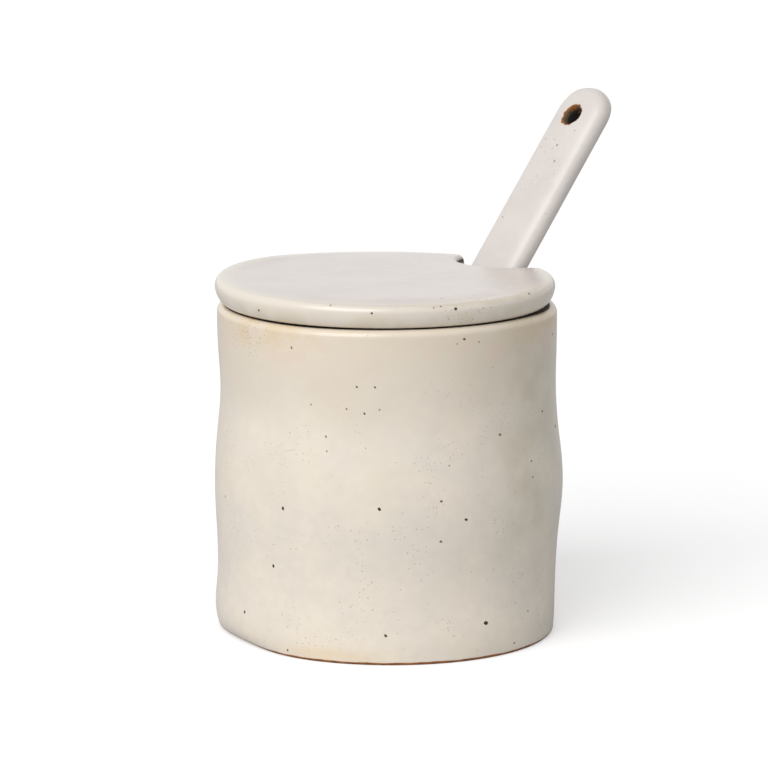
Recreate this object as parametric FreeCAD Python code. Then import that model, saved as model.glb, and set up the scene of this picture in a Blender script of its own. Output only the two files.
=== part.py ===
import FreeCAD, Part
import math
import os

# A lidded stoneware jam pot with its spoon, in millimetres.
# The pot stands on z = 0 about the Z axis. The spoon leans out towards +X through
# a round notch in the lid's edge. Azimuths are in degrees from +X towards +Y.

V = FreeCAD.Vector
up = V(0, 0, 1)

# Pot
pot_height = 82.5
pot_radius = 42.2        # outside of the wall, away from its bands
wall = 4.6
floor_thickness = 6.0
floor_corner_round = 7.0
rim_outer_round = 1.7
rim_inner_round = 1.3

# Hand-formed bands: round a height the wall swells out or draws in, and is pushed
# sideways towards sway_azimuth.
sway_azimuth = -40.5
bands = [
    {"height": 60.5, "spread": 6.5, "swell": -0.50, "sway": 0.26},
    {"height": 38.0, "spread": 9.4, "swell": 1.25, "sway": 0.47},
    {"height": 5.3, "spread": 5.0, "swell": 0.37, "sway": 0.0},
]

# Slow unevenness round the pot, as hands leave it: so many waves of a depth, one
# crest at an azimuth, strongest at a height and fading over a spread.
dents = [
    {"waves": 2, "depth": 0.25, "azimuth": 4.5, "height": 45.0, "spread": 14.0},
    {"waves": 3, "depth": 0.20, "azimuth": -70.5, "height": 24.0, "spread": 12.0},
    {"waves": 3, "depth": 0.56, "azimuth": -95.0, "height": 5.3, "spread": 5.5},
]

# Foot: pressed in at two places, rounded at its corner, hollow beneath
tucks = [
    {"depth": 2.8, "azimuth": 166.0, "spread": 16.0},
    {"depth": 0.7, "azimuth": -30.0, "spread": 22.0},
]
tuck_height = 2.6        # it fades upwards
foot_round = 0.7
foot_ring_width = 5.0     # at its narrowest
foot_recess = 1.4
foot_recess_round = 1.2

# Lid: a rounded disc that lies a little off the pot's axis
lid_overhang = 0.0
lid_thickness = 6.25
lid_upper_reach = 1.5    # rounding above, inwards and down
lid_upper_drop = 2.3
lid_lower_reach = 2.1    # rounding below, inwards and up
lid_lower_rise = 3.9
lid_shift = 0.5
lid_shift_azimuth = 139.5
lid_turn = 0.8           # azimuth of the notch

# Locating ring under the lid, cut open at the notch
ring_play = 1.1          # between the ring and the pot's mouth
ring_width = 3.4
ring_depth = 3.0
ring_round = 0.9
ring_setback = 0.6       # from the notch's rounded edge

# Notch in the lid's edge
notch_side_gap = 5.9     # beside the handle
notch_back_gap = 1.6     # behind the handle's upper face
horn_round = 2.8         # corners where it meets the lid's edge

# Spoon
spoon_length = 156.3
handle_width = 15.7
handle_thickness = 6.6
handle_squareness = 3.5  # exponent of the superellipse across it
tip_round = 3.8          # length over which its end thins to the tip
bowl_width = 26.0
bowl_length = 38.0
bowl_widest = 17.0       # from the bowl's tip
bowl_depth = 8.5         # from the spoon's axis to the back of the bowl
bowl_wall = 3.2
bowl_squareness = 2.3
neck_length = 16.0       # the bowl runs out into the handle
nose_round = 1.6         # radius of the bowl's lip at its tip
nose_reach = 25.2        # where the tip stands on the floor, from the pot's axis
spoon_gap = 0.3          # between the spoon and what it stands on or leans on
hole_radius = 2.5
hole_edge = 0.55         # rounding of the hole's rims
hole_sink = 0.15         # the rims' rounding starts this far under the faces
hole_from_end = 9.5

# Fineness of the lofted forms
section_points = 24
wall_step = 6.0
handle_step = 15.0
end_turn = 7.0           # the rounded ends are cut by their first section this soon
end_step = 18.0
edge_step = 18.0         # the same for the lid's rounded edge

# The spoon leans as its two supports have it: the floor, where the bowl's tip
# stands, and the rounded inner edge of the rim, which carries the handle.
mouth_radius = pot_radius - wall
nose_centre = V(-nose_reach, 0, floor_thickness + spoon_gap + nose_round)
rim_centre = V(mouth_radius + rim_inner_round, 0, pot_height - rim_inner_round)
rim_distance = rim_inner_round + spoon_gap + 0.5 * handle_thickness
support = rim_centre - nose_centre
lean = math.atan2(support.x, support.z) - math.asin(rim_distance / support.Length)

# The notch stands clear of the handle's upper face at the lid's underside.
axis_at_lid = nose_centre.x + (pot_height - nose_centre.z) * math.tan(lean)
face_at_lid = axis_at_lid - 0.5 * handle_thickness / math.cos(lean)
notch_radius = 0.5 * handle_width + notch_side_gap
notch_distance = face_at_lid - notch_back_gap + notch_radius


def polar(radius, azimuth, height=0.0):
    angle = math.radians(azimuth)
    return V(radius * math.cos(angle), radius * math.sin(angle), height)


def bump(distance, spread):
    return math.exp(-0.5 * (distance / spread) ** 2)


def between(low, high, step):
    """Even places from low to high, no more than a step apart."""
    count = max(2, math.ceil((high - low) / step))
    return [low + (high - low) * index / count for index in range(count + 1)]


def closed_curve(points):
    """A smooth closed curve; every section shares its knots, so that lofts stay even."""
    knots = [float(index) for index in range(len(points) + 1)]
    curve = Part.BSplineCurve()
    curve.interpolate(Points=points, PeriodicFlag=True, Parameters=knots)
    return Part.Wire([curve.toShape()])


def level_edges(shape, height):
    """Edges that lie flat at a height, the widest first."""
    level = []
    for edge in shape.Edges:
        box = edge.BoundBox
        if max(abs(box.ZMin - height), abs(box.ZMax - height)) < 1e-3:
            level.append(edge)
    return sorted(level, key=lambda edge: -edge.BoundBox.DiagonalLength)


def wall_radius(azimuth, height):
    """Outside radius of the hand-formed wall."""
    radius = pot_radius
    for band in bands:
        sideways = math.cos(math.radians(azimuth - sway_azimuth))
        push = band["swell"] + band["sway"] * sideways
        radius += push * bump(height - band["height"], band["spread"])
    for dent in dents:
        wave = math.cos(math.radians(dent["waves"] * (azimuth - dent["azimuth"])))
        radius += dent["depth"] * wave * bump(height - dent["height"], dent["spread"])
    return radius


def tucked_in(azimuth, height):
    """How far the foot is pressed in from the wall's line."""
    total = 0.0
    for tuck in tucks:
        turn = (azimuth - tuck["azimuth"] + 180.0) % 360.0 - 180.0
        total += tuck["depth"] * bump(turn, tuck["spread"])
    return total * math.exp(-height / tuck_height)


def wall_section(height, depth, tucked):
    """A closed curve round the pot at a depth inside the wall's outer face."""
    points = []
    for index in range(section_points):
        azimuth = 360.0 * index / section_points
        radius = wall_radius(azimuth, height) - depth
        if tucked:
            radius -= tucked_in(azimuth, height)
        points.append(polar(radius, azimuth, height))
    return closed_curve(points)


def make_pot():
    """Outer form less inner form, with rounded rims and a hollow under the foot."""
    foot_levels = [share * tuck_height for share in (0.0, 0.3, 1.0, 2.0)]
    outer_levels = foot_levels + between(3.5 * tuck_height, pot_height, wall_step)
    outer = Part.makeLoft([wall_section(z, 0.0, True) for z in outer_levels], True)
    outer = outer.makeFillet(foot_round, level_edges(outer, 0.0))
    outer = outer.makeFillet(rim_outer_round, level_edges(outer, pot_height))

    inner_levels = between(floor_thickness, pot_height, wall_step)
    inner = Part.makeLoft([wall_section(z, wall, False) for z in inner_levels], True)
    inner = inner.makeFillet(floor_corner_round, level_edges(inner, floor_thickness))
    pot = outer.cut(inner)
    mouth = level_edges(pot, pot_height)[-1:]
    pot = pot.makeFillet(rim_inner_round, mouth)

    deepest_tuck = max(tuck["depth"] for tuck in tucks)
    recess = Part.makeCylinder(pot_radius - deepest_tuck - foot_ring_width, foot_recess)
    recess = recess.makeFillet(foot_recess_round, level_edges(recess, foot_recess))
    return pot.cut(recess)


def line(start, end):
    return Part.LineSegment(start, end).toShape()


def quarter_ellipse(centre, start, end):
    if (start - centre).Length >= (end - centre).Length:
        ellipse = Part.Ellipse(start, end, centre)
    else:
        ellipse = Part.Ellipse(end, start, centre)
    return Part.ArcOfEllipse(ellipse, 0, 0.5 * math.pi).toShape()


def revolve(profile):
    """A solid of revolution about Z from a closed profile in the XZ plane."""
    face = Part.Face(Part.Wire(Part.__sortEdges__(profile)))
    return Part.Solid(Part.Shell(face.revolve(V(0, 0, 0), up, 360).Faces))


def lid_outline(notch_centre, inset, height):
    """The lid's edge at an inset: disc, notch, and the rounded horns between them."""
    outwards = V(notch_centre).normalize()
    sideways = up.cross(outwards)
    distance = notch_centre.Length
    disc_radius = pot_radius + lid_overhang - inset
    bite_radius = notch_radius + inset
    corner_radius = horn_round - inset
    to_disc = disc_radius - corner_radius
    to_bite = bite_radius + corner_radius
    along = (to_disc ** 2 + distance ** 2 - to_bite ** 2) / (2.0 * distance)
    across = math.sqrt(to_disc ** 2 - along ** 2)

    corners = []
    for side in (-1.0, 1.0):
        centre = outwards * along + sideways * (side * across)
        on_disc = centre * (disc_radius / to_disc)
        on_bite = notch_centre + (centre - notch_centre) * (bite_radius / to_bite)
        middle = (on_disc + on_bite) * 0.5 - centre
        corners.append((on_disc, centre + middle.normalize() * corner_radius, on_bite))
    low, high = corners
    arcs = [
        Part.Arc(high[0], outwards * -disc_radius, low[0]),
        Part.Arc(*low),
        Part.Arc(low[2], notch_centre - outwards * bite_radius, high[2]),
        Part.Arc(high[2], high[1], high[0]),
    ]
    wire = Part.Wire([arc.toShape() for arc in arcs])
    wire.translate(V(0, 0, height))
    return wire


def lid_slab(notch_centre):
    """Outlines stacked from the underside, out to the edge and in again above."""
    turns = between(0.0, 0.5 * math.pi, math.radians(edge_step))
    levels = []
    for turn in turns:
        inset = lid_lower_reach * (1.0 - math.sin(turn))
        levels.append((inset, lid_lower_rise * (1.0 - math.cos(turn))))
    for turn in turns[1:]:
        inset = lid_upper_reach * (1.0 - math.cos(turn))
        levels.append((inset, lid_thickness - lid_upper_drop * (1.0 - math.sin(turn))))
    outlines = [lid_outline(notch_centre, inset, height) for inset, height in levels]
    return Part.makeLoft(outlines, True)


def rounding_cutter(radius, edge, thickness):
    """Cuts a round opening through a slab from z = 0, and rounds both its rims."""
    spare = thickness
    bottom = V(radius + edge, 0, 0)
    waist = V(radius, 0, 0.5 * thickness)
    top = V(radius + edge, 0, thickness)
    centre = V(radius + edge, 0, 0.5 * thickness)
    below = V(radius + edge, 0, -spare)
    above = V(radius + edge, 0, thickness + spare)
    return revolve([
        line(V(0, 0, -spare), below),
        line(below, bottom),
        quarter_ellipse(centre, bottom, waist),
        quarter_ellipse(centre, waist, top),
        line(top, above),
        line(above, V(0, 0, above.z)),
        line(V(0, 0, above.z), V(0, 0, -spare)),
    ])


def lid_ring(notch_centre):
    """The locating ring hanging from z = 0, open where the spoon passes."""
    outside = mouth_radius - ring_play
    base = V(0, 0, -ring_depth)
    ring = Part.makeCylinder(outside, ring_depth, base)
    ring = ring.cut(Part.makeCylinder(outside - ring_width, ring_depth, base))
    ring = ring.makeFillet(ring_round, level_edges(ring, -ring_depth))
    opening = notch_radius + lid_lower_reach + ring_setback
    return ring.cut(Part.makeCylinder(opening, ring_depth, notch_centre + base))


def make_lid():
    """Disc, notch and locating ring, laid on the rim."""
    centre = polar(lid_shift, lid_shift_azimuth)
    notch_centre = polar(notch_distance, lid_turn) - centre
    lid = lid_slab(notch_centre).fuse(lid_ring(notch_centre))
    lid.translate(centre + V(0, 0, pot_height))
    return lid


def smooth(share):
    share = min(1.0, max(0.0, share))
    return share * share * (3.0 - 2.0 * share)


def ease_in(inside, length):
    """An elliptical end: 0 at the end itself and 1 from a length inside it."""
    share = min(1.0, max(0.0, inside / length))
    return math.sqrt(1.0 - (1.0 - share) ** 2)


def spoon_section(along):
    """A superellipse across the spoon, deeper below the axis where the bowl is."""
    from_end = spoon_length - along
    neck = smooth((along - bowl_widest) / (bowl_length + neck_length - bowl_widest))
    bulge = math.sin(0.5 * math.pi * min(1.0, along / bowl_widest))

    half_width = 0.5 * (bowl_width + (handle_width - bowl_width) * neck)
    half_width *= ease_in(along, bowl_widest) * ease_in(from_end, 0.5 * handle_width)
    thinning = ease_in(along, nose_round) * ease_in(from_end, tip_round)
    above = nose_round + (0.5 * handle_thickness - nose_round) * neck
    below = nose_round + (bowl_depth - nose_round) * bulge
    below += (0.5 * handle_thickness - below) * neck
    power = 2.0 / (bowl_squareness + (handle_squareness - bowl_squareness) * neck)

    points = []
    for index in range(section_points):
        angle = 2.0 * math.pi * index / section_points
        side = math.copysign(abs(math.cos(angle)) ** power, math.cos(angle))
        rise = math.copysign(abs(math.sin(angle)) ** power, math.sin(angle))
        height = (above if rise > 0 else below) * thinning * rise
        points.append(V(along, half_width * side, height))
    return closed_curve(points)


def spoon_places():
    """Where the sections stand, closer towards both rounded ends."""
    turns = between(math.radians(end_turn), 0.5 * math.pi, math.radians(end_step))
    round_start = spoon_length - 0.5 * handle_width
    places = [bowl_widest * (1.0 - math.cos(turn)) for turn in turns]
    places += between(bowl_widest, round_start, handle_step)[1:]
    places += [round_start + 0.5 * handle_width * math.cos(turn) for turn in turns[-2::-1]]
    return places


def bowl_hollow():
    """An ellipsoid that leaves the bowl's wall round it."""
    centre = V(bowl_widest + nose_round, 0, nose_round)
    matrix = FreeCAD.Matrix()
    matrix.scale(V(centre.x - bowl_wall, 0.5 * bowl_width - bowl_wall, bowl_depth - bowl_wall + centre.z))
    matrix.move(centre)
    return Part.makeSphere(1.0).transformGeometry(matrix)


def make_spoon():
    """Lofted along +X from the bowl's tip, then leant and stood in the pot."""
    spoon = Part.makeLoft([spoon_section(place) for place in spoon_places()], True)
    spoon = spoon.cut(bowl_hollow())
    hole = rounding_cutter(hole_radius, hole_edge, handle_thickness - 2.0 * hole_sink)
    hole_bottom = hole_sink - 0.5 * handle_thickness
    hole.translate(V(spoon_length - hole_from_end, 0, hole_bottom))
    spoon = spoon.cut(hole)
    spoon.translate(V(-nose_round, 0, 0))
    spoon.rotate(V(0, 0, 0), V(0, 1, 0), math.degrees(lean) - 90.0)
    spoon.translate(nose_centre)
    # The back of the bowl may reach lower than the tip: the spoon slides up its own axis.
    slide = floor_thickness + spoon_gap - spoon.optimalBoundingBox(False).ZMin
    spoon.translate(V(math.tan(lean), 0, 1.0) * slide)
    return spoon


def write_node(name, shape):
    solids = shape.Solids
    if len(solids) != 1 or not shape.isValid():
        raise ValueError(name + " is not one sound solid")
    solids[0].exportStep("parts/" + name + ".step")
    print(name, "volume %.0f mm3" % solids[0].Volume, solids[0].BoundBox)


os.makedirs("parts", exist_ok=True)
print("spoon leans %.2f degrees" % math.degrees(lean))
write_node("pot", make_pot())
write_node("lid", make_lid())
write_node("spoon", make_spoon())
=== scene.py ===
import math
import random

import bmesh
import bpy
from mathutils import Matrix, Vector
from mathutils.bvhtree import BVHTree


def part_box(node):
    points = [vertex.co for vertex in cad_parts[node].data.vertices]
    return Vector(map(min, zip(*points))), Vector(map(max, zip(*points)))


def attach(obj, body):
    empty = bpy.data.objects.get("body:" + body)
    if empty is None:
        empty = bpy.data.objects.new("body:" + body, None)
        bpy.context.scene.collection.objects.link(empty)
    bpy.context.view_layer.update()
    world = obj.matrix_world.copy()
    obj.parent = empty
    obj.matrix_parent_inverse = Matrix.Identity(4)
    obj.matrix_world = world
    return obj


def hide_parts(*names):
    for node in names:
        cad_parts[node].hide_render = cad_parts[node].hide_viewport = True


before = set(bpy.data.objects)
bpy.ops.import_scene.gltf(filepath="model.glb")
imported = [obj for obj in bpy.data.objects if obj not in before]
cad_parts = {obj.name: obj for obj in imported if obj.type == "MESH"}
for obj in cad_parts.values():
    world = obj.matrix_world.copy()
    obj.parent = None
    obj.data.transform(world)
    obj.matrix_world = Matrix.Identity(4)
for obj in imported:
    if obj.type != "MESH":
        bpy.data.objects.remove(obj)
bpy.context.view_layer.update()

# A lidded stoneware jam pot with its spoon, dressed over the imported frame. The pieces keep
# the frame's axes: the pot stands on z = 0 and the spoon leans out towards +X. Sizes are in
# millimetres and azimuths in degrees from +X towards +Y, until a mesh is written in metres.

mm = 0.001
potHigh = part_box("pot")[1]
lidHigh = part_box("lid")[1]


def addNode(tree, kind, inputs=None, **settings):
    # inputs go by socket identifier, name or number; a value may be a number, a socket or a node
    node = tree.nodes.new(kind)
    for name, value in settings.items():
        setattr(node, name, value)
    for key, value in (inputs or {}).items():
        if isinstance(key, int):
            socket = node.inputs[key]
        else:
            byIdentifier = [s for s in node.inputs if s.identifier == key]
            socket = byIdentifier[0] if byIdentifier else node.inputs[key]
        if isinstance(value, bpy.types.Node):
            value = next(o for o in value.outputs if o.enabled)
        if isinstance(value, bpy.types.NodeSocket):
            tree.links.new(value, socket)
        else:
            socket.default_value = value
    return node


def bell(tree, value, centre, spread):
    # a bell curve of a field, 1 at its centre
    away = addNode(tree, "ShaderNodeMath", {0: value, 1: centre}, operation="SUBTRACT")
    share = addNode(tree, "ShaderNodeMath", {0: away, 1: spread}, operation="DIVIDE")
    square = addNode(tree, "ShaderNodeMath", {0: share, 1: share}, operation="MULTIPLY")
    half = addNode(tree, "ShaderNodeMath", {0: square, 1: -0.5}, operation="MULTIPLY")
    return addNode(tree, "ShaderNodeMath", {0: half}, operation="EXPONENT")


def bellRound(tree, azimuth, centre, spread):
    # the same round the pot, where 359 degrees lies beside 0
    turn = addNode(tree, "ShaderNodeMath", {0: azimuth, 1: centre}, operation="SUBTRACT")
    turn = addNode(tree, "ShaderNodeMath", {0: turn, 1: 180.0, 2: -180.0}, operation="WRAP")
    return bell(tree, turn, 0.0, spread)


def patches(tree, place, size, seed, low, high, detail=2.0):
    # soft patches about this many millimetres across: 1 inside them, 0 between them
    noise = addNode(tree, "ShaderNodeTexNoise", {
        "Vector": place, "W": seed, "Scale": 1.0 / (size * mm), "Detail": detail,
    }, noise_dimensions="4D")
    return addNode(tree, "ShaderNodeMapRange", {
        "Value": noise, "From Min": low, "From Max": high,
    }, interpolation_type="SMOOTHSTEP")


def newObject(name, data):
    piece = bpy.data.objects.new(name, data)
    bpy.context.scene.collection.objects.link(piece)
    return piece


def newMaterial(name):
    material = bpy.data.materials.new(name)
    material.use_nodes = True
    material.node_tree.nodes.clear()
    return material


def newTree(name, inputs):
    # a geometry tree that takes a geometry and these inputs by name, each with its kind
    tree = bpy.data.node_groups.new(name, "GeometryNodeTree")
    for title, kind in [("Geometry", "Geometry"), *inputs]:
        tree.interface.new_socket(name=title, in_out="INPUT", socket_type="NodeSocket" + kind)
    tree.interface.new_socket(name="Geometry", in_out="OUTPUT", socket_type="NodeSocketGeometry")
    return tree, addNode(tree, "NodeGroupInput").outputs


def frozenMesh(piece):
    # a copy of the piece's mesh as its modifiers leave it
    bpy.context.view_layer.update()
    graph = bpy.context.evaluated_depsgraph_get()
    return bpy.data.meshes.new_from_object(piece.evaluated_get(graph), depsgraph=graph)


def bakeModifier(piece, tree, values):
    # runs a node tree on a piece and keeps the result as a plain mesh
    modifier = piece.modifiers.new(tree.name, "NODES")
    modifier.node_group = tree
    for item in tree.interface.items_tree:
        if item.item_type == "SOCKET" and item.in_out == "INPUT" and item.name in values:
            modifier[item.identifier] = values[item.name]
    mesh = frozenMesh(piece)
    mesh.name = piece.name
    piece.modifiers.remove(modifier)
    piece.data = mesh
    return piece


def arcPoints(centreX, centreZ, radius, start, end, count):
    points = []
    for index in range(count + 1):
        angle = math.radians(start + (end - start) * index / count)
        points.append((centreX + radius * math.cos(angle), centreZ + radius * math.sin(angle)))
    return points


def linePoints(start, end, count):
    points = []
    for index in range(count + 1):
        share = index / count
        across = start[0] + (end[0] - start[0]) * share
        up = start[1] + (end[1] - start[1]) * share
        points.append((across, up))
    return points


def polar(radius, azimuth, height=0.0):
    angle = math.radians(azimuth)
    return Vector((radius * math.cos(angle), radius * math.sin(angle), height))


def smoothStep(share):
    share = min(1.0, max(0.0, share))
    return share * share * (3.0 - 2.0 * share)


def linked(*runs):
    # runs of points one after another, each shared end once
    points = []
    for run in runs:
        points += run if not points else run[1:]
    return points


# The camera, the floor and the light

view = {
    "azimuth": -40.5,       # which side of the pot it sees
    "distance": 1050.0,
    "height": 257.5,
    "aimHeight": 61.5,
    "sideStep": -0.75,       # the pot stands a little right of the middle
    "lens": 201.0,
    "sensor": 36.0,
}

light = {
    "keyTurn": -32.0,       # left of the camera
    "keyRise": 38.0,
    "keySpread": 48.0,      # how wide the light looks from the pot, for the shadow's softness
    "keyStrength": 2.3,
    "skyStrength": 0.48,
    "paper": 0.6,
    "floorLift": 0.47,
    "floorReach": 12.0,     # in metres
}


def sideOfPot(azimuth, distance, height):
    angle = math.radians(azimuth)
    return Vector((math.sin(angle) * distance, -math.cos(angle) * distance, height)) * mm


def makeCamera():
    sideways = sideOfPot(view["azimuth"] + 90.0, view["sideStep"], 0.0)
    data = bpy.data.cameras.new("camera")
    data.lens = view["lens"]
    data.sensor_width = view["sensor"]
    data.clip_end = 50.0
    camera = newObject("camera", data)
    camera.location = sideOfPot(view["azimuth"], view["distance"], view["height"]) + sideways
    aim = Vector((0.0, 0.0, view["aimHeight"] * mm)) + sideways
    camera.rotation_euler = (aim - camera.location).to_track_quat("-Z", "Y").to_euler()
    bpy.context.scene.camera = camera


def makeLight():
    # one large soft light over the camera's left shoulder, and an even sky
    data = bpy.data.lights.new("key", "SUN")
    data.angle = math.radians(light["keySpread"])
    data.energy = light["keyStrength"]
    lamp = newObject("key", data)
    rise = math.radians(light["keyRise"])
    turn = view["azimuth"] + light["keyTurn"]
    lamp.location = sideOfPot(turn, 1000.0 * math.cos(rise), 1000.0 * math.sin(rise))
    lamp.rotation_euler = (-lamp.location).to_track_quat("-Z", "Y").to_euler()

    world = bpy.data.worlds.new("studio")
    bpy.context.scene.world = world
    world.use_nodes = True
    tree = world.node_tree
    tree.nodes.clear()
    path = addNode(tree, "ShaderNodeLightPath")
    seen = path.outputs["Is Camera Ray"]
    for name in ("Is Glossy Ray", "Is Transmission Ray"):
        seen = addNode(tree, "ShaderNodeMath", {
            0: seen, 1: path.outputs[name],
        }, operation="MAXIMUM")
    strength = addNode(tree, "ShaderNodeMix", {
        "Factor_Float": seen, "A_Float": light["skyStrength"], "B_Float": 1.0,
    })
    sky = addNode(tree, "ShaderNodeBackground", {"Color": (1, 1, 1, 1), "Strength": strength})
    addNode(tree, "ShaderNodeOutputWorld", {"Surface": sky})


def makeFloor():
    # matt white paper, lifted to white for the camera only, so that the soft shadow stays
    mesh = bpy.data.meshes.new("floor")
    reach = light["floorReach"]
    corners = [(-reach, -reach, 0), (reach, -reach, 0), (reach, reach, 0), (-reach, reach, 0)]
    mesh.from_pydata(corners, [], [(0, 1, 2, 3)])
    floor = newObject("floor", mesh)
    material = newMaterial("mattWhitePaper")
    tree = material.node_tree
    path = addNode(tree, "ShaderNodeLightPath")
    lift = addNode(tree, "ShaderNodeMath", {
        0: path.outputs["Is Camera Ray"], 1: light["floorLift"],
    }, operation="MULTIPLY")
    paper = addNode(tree, "ShaderNodeBsdfDiffuse", {
        "Color": (light["paper"], light["paper"], light["paper"], 1),
    })
    glow = addNode(tree, "ShaderNodeEmission", {"Color": (1, 1, 1, 1), "Strength": lift})
    both = addNode(tree, "ShaderNodeAddShader", {0: paper, 1: glow})
    addNode(tree, "ShaderNodeOutputMaterial", {"Surface": both})
    mesh.materials.append(material)


bpy.context.scene.view_settings.view_transform = "Standard"
makeCamera()
makeLight()
makeFloor()
print("camera, light and floor")


# The finishes

def colourOf(text):
    # sRGB hex to the linear colour that a socket takes
    channels = []
    for start in (1, 3, 5):
        value = int(text[start:start + 2], 16) / 255.0
        channels.append(value / 12.92 if value <= 0.04045 else ((value + 0.055) / 1.055) ** 2.4)
    return (*channels, 1.0)


anyGlaze = {
    "fleck": "#8d8270", "fleckReach": (0.07, 0.18), "peelSize": 1.1,
    "cloudEdges": (0.35, 0.65), "mottleEdges": (0.3, 0.7), "clusterEdges": (0.50, 0.62),
}


# Satin stoneware glaze, dipped and fired in a kiln that leaves it matt-glossy: cream where it
# lies thick, with clouds of a cooler and a warmer tone and fine grey flecks from the clay.
def satinGlaze(tree, look):
    place = addNode(tree, "ShaderNodeTexCoord").outputs["Object"]
    wide = patches(tree, place, look["cloudSize"], look["seed"], *look["cloudEdges"])
    colour = addNode(tree, "ShaderNodeMix", {
        "Factor_Float": wide, "A_Color": colourOf(look["cool"]), "B_Color": colourOf(look["warm"]),
    }, data_type="RGBA")
    small = patches(tree, place, look["mottleSize"], look["seed"] + 3.0, *look["mottleEdges"], 3.0)
    shade = addNode(tree, "ShaderNodeMath", {
        0: small, 1: look["mottle"], 2: 1.0 - look["mottle"],
    }, operation="MULTIPLY_ADD")
    colour = addNode(tree, "ShaderNodeMix", {
        "Factor_Float": 1.0, "A_Color": colour, "B_Color": shade,
    }, data_type="RGBA", blend_type="MULTIPLY")

    # flecks: a few cells of a fine cell pattern hold a soft grey dot, in clusters
    cells = addNode(tree, "ShaderNodeTexVoronoi", {
        "Vector": place, "Scale": 1.0 / (look["fleckSpacing"] * mm), "Randomness": 1.0,
    })
    pick = addNode(tree, "ShaderNodeSeparateColor", {"Color": cells.outputs["Color"]})
    seed = look["seed"] + 7.0
    clusters = patches(tree, place, look["clusterSize"], seed, *look["clusterEdges"], 1.0)
    share = addNode(tree, "ShaderNodeMath", {
        0: clusters, 1: look["fleckShare"],
    }, operation="MULTIPLY")
    chosen = addNode(tree, "ShaderNodeMath", {0: pick.outputs[0], 1: share}, operation="LESS_THAN")
    reach = addNode(tree, "ShaderNodeMath", {
        0: pick.outputs[1], 1: look["fleckReach"][1], 2: look["fleckReach"][0],
    }, operation="MULTIPLY_ADD")
    near = addNode(tree, "ShaderNodeMath", {
        0: cells.outputs["Distance"], 1: reach,
    }, operation="LESS_THAN")
    dots = addNode(tree, "ShaderNodeMath", {0: near, 1: chosen}, operation="MULTIPLY")
    dots = addNode(tree, "ShaderNodeMath", {0: dots, 1: look["fleckDepth"]}, operation="MULTIPLY")
    colour = addNode(tree, "ShaderNodeMix", {
        "Factor_Float": dots, "A_Color": colour, "B_Color": colourOf(look["fleck"]),
    }, data_type="RGBA")
    return place, colour


def glazeRelief(tree, place, look):
    # slow ripples of the glaze and a faint orange peel
    ripple = addNode(tree, "ShaderNodeTexNoise", {
        "Vector": place, "Scale": 1.0 / (look["rippleSize"] * mm), "Detail": 1.0,
    })
    peel = addNode(tree, "ShaderNodeTexNoise", {
        "Vector": place, "Scale": 1.0 / (look["peelSize"] * mm), "Detail": 2.0,
    })
    slow = addNode(tree, "ShaderNodeBump", {
        "Strength": 1.0, "Distance": look["rippleDepth"] * mm, "Height": ripple,
    })
    return addNode(tree, "ShaderNodeBump", {
        "Strength": 1.0, "Distance": look["peelDepth"] * mm, "Height": peel, "Normal": slow,
    })


def cylinderPlace(tree, place):
    # height and distance from the axis in millimetres, and the azimuth in degrees
    apart = addNode(tree, "ShaderNodeSeparateXYZ", {0: place})
    height = addNode(tree, "ShaderNodeMath", {
        0: apart.outputs["Z"], 1: 1.0 / mm,
    }, operation="MULTIPLY")
    flat = addNode(tree, "ShaderNodeCombineXYZ", {"X": apart.outputs["X"], "Y": apart.outputs["Y"]})
    away = addNode(tree, "ShaderNodeVectorMath", {0: flat}, operation="LENGTH").outputs["Value"]
    away = addNode(tree, "ShaderNodeMath", {0: away, 1: 1.0 / mm}, operation="MULTIPLY")
    angle = addNode(tree, "ShaderNodeMath", {
        0: apart.outputs["Y"], 1: apart.outputs["X"],
    }, operation="ARCTAN2")
    azimuth = addNode(tree, "ShaderNodeMath", {0: angle}, operation="DEGREES")
    return height, away, azimuth


def layered(tree, colour, layers):
    # tones laid one over another, each where its share says
    for share, tone in layers:
        colour = addNode(tree, "ShaderNodeMix", {
            "Factor_Float": share, "A_Color": colour, "B_Color": tone,
        }, data_type="RGBA")
    return colour


def glazeSurface(tree, place, colour, bare, look):
    # satin where glaze covers it and rough where the clay is bare
    rough = addNode(tree, "ShaderNodeMix", {
        "Factor_Float": bare, "A_Float": look["roughness"], "B_Float": look["bareRoughness"],
    })
    shader = addNode(tree, "ShaderNodeBsdfPrincipled", {
        "Base Color": colour, "Roughness": rough, "IOR": 1.5,
        "Normal": glazeRelief(tree, place, look),
    })
    addNode(tree, "ShaderNodeOutputMaterial", {"Surface": shader})


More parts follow.
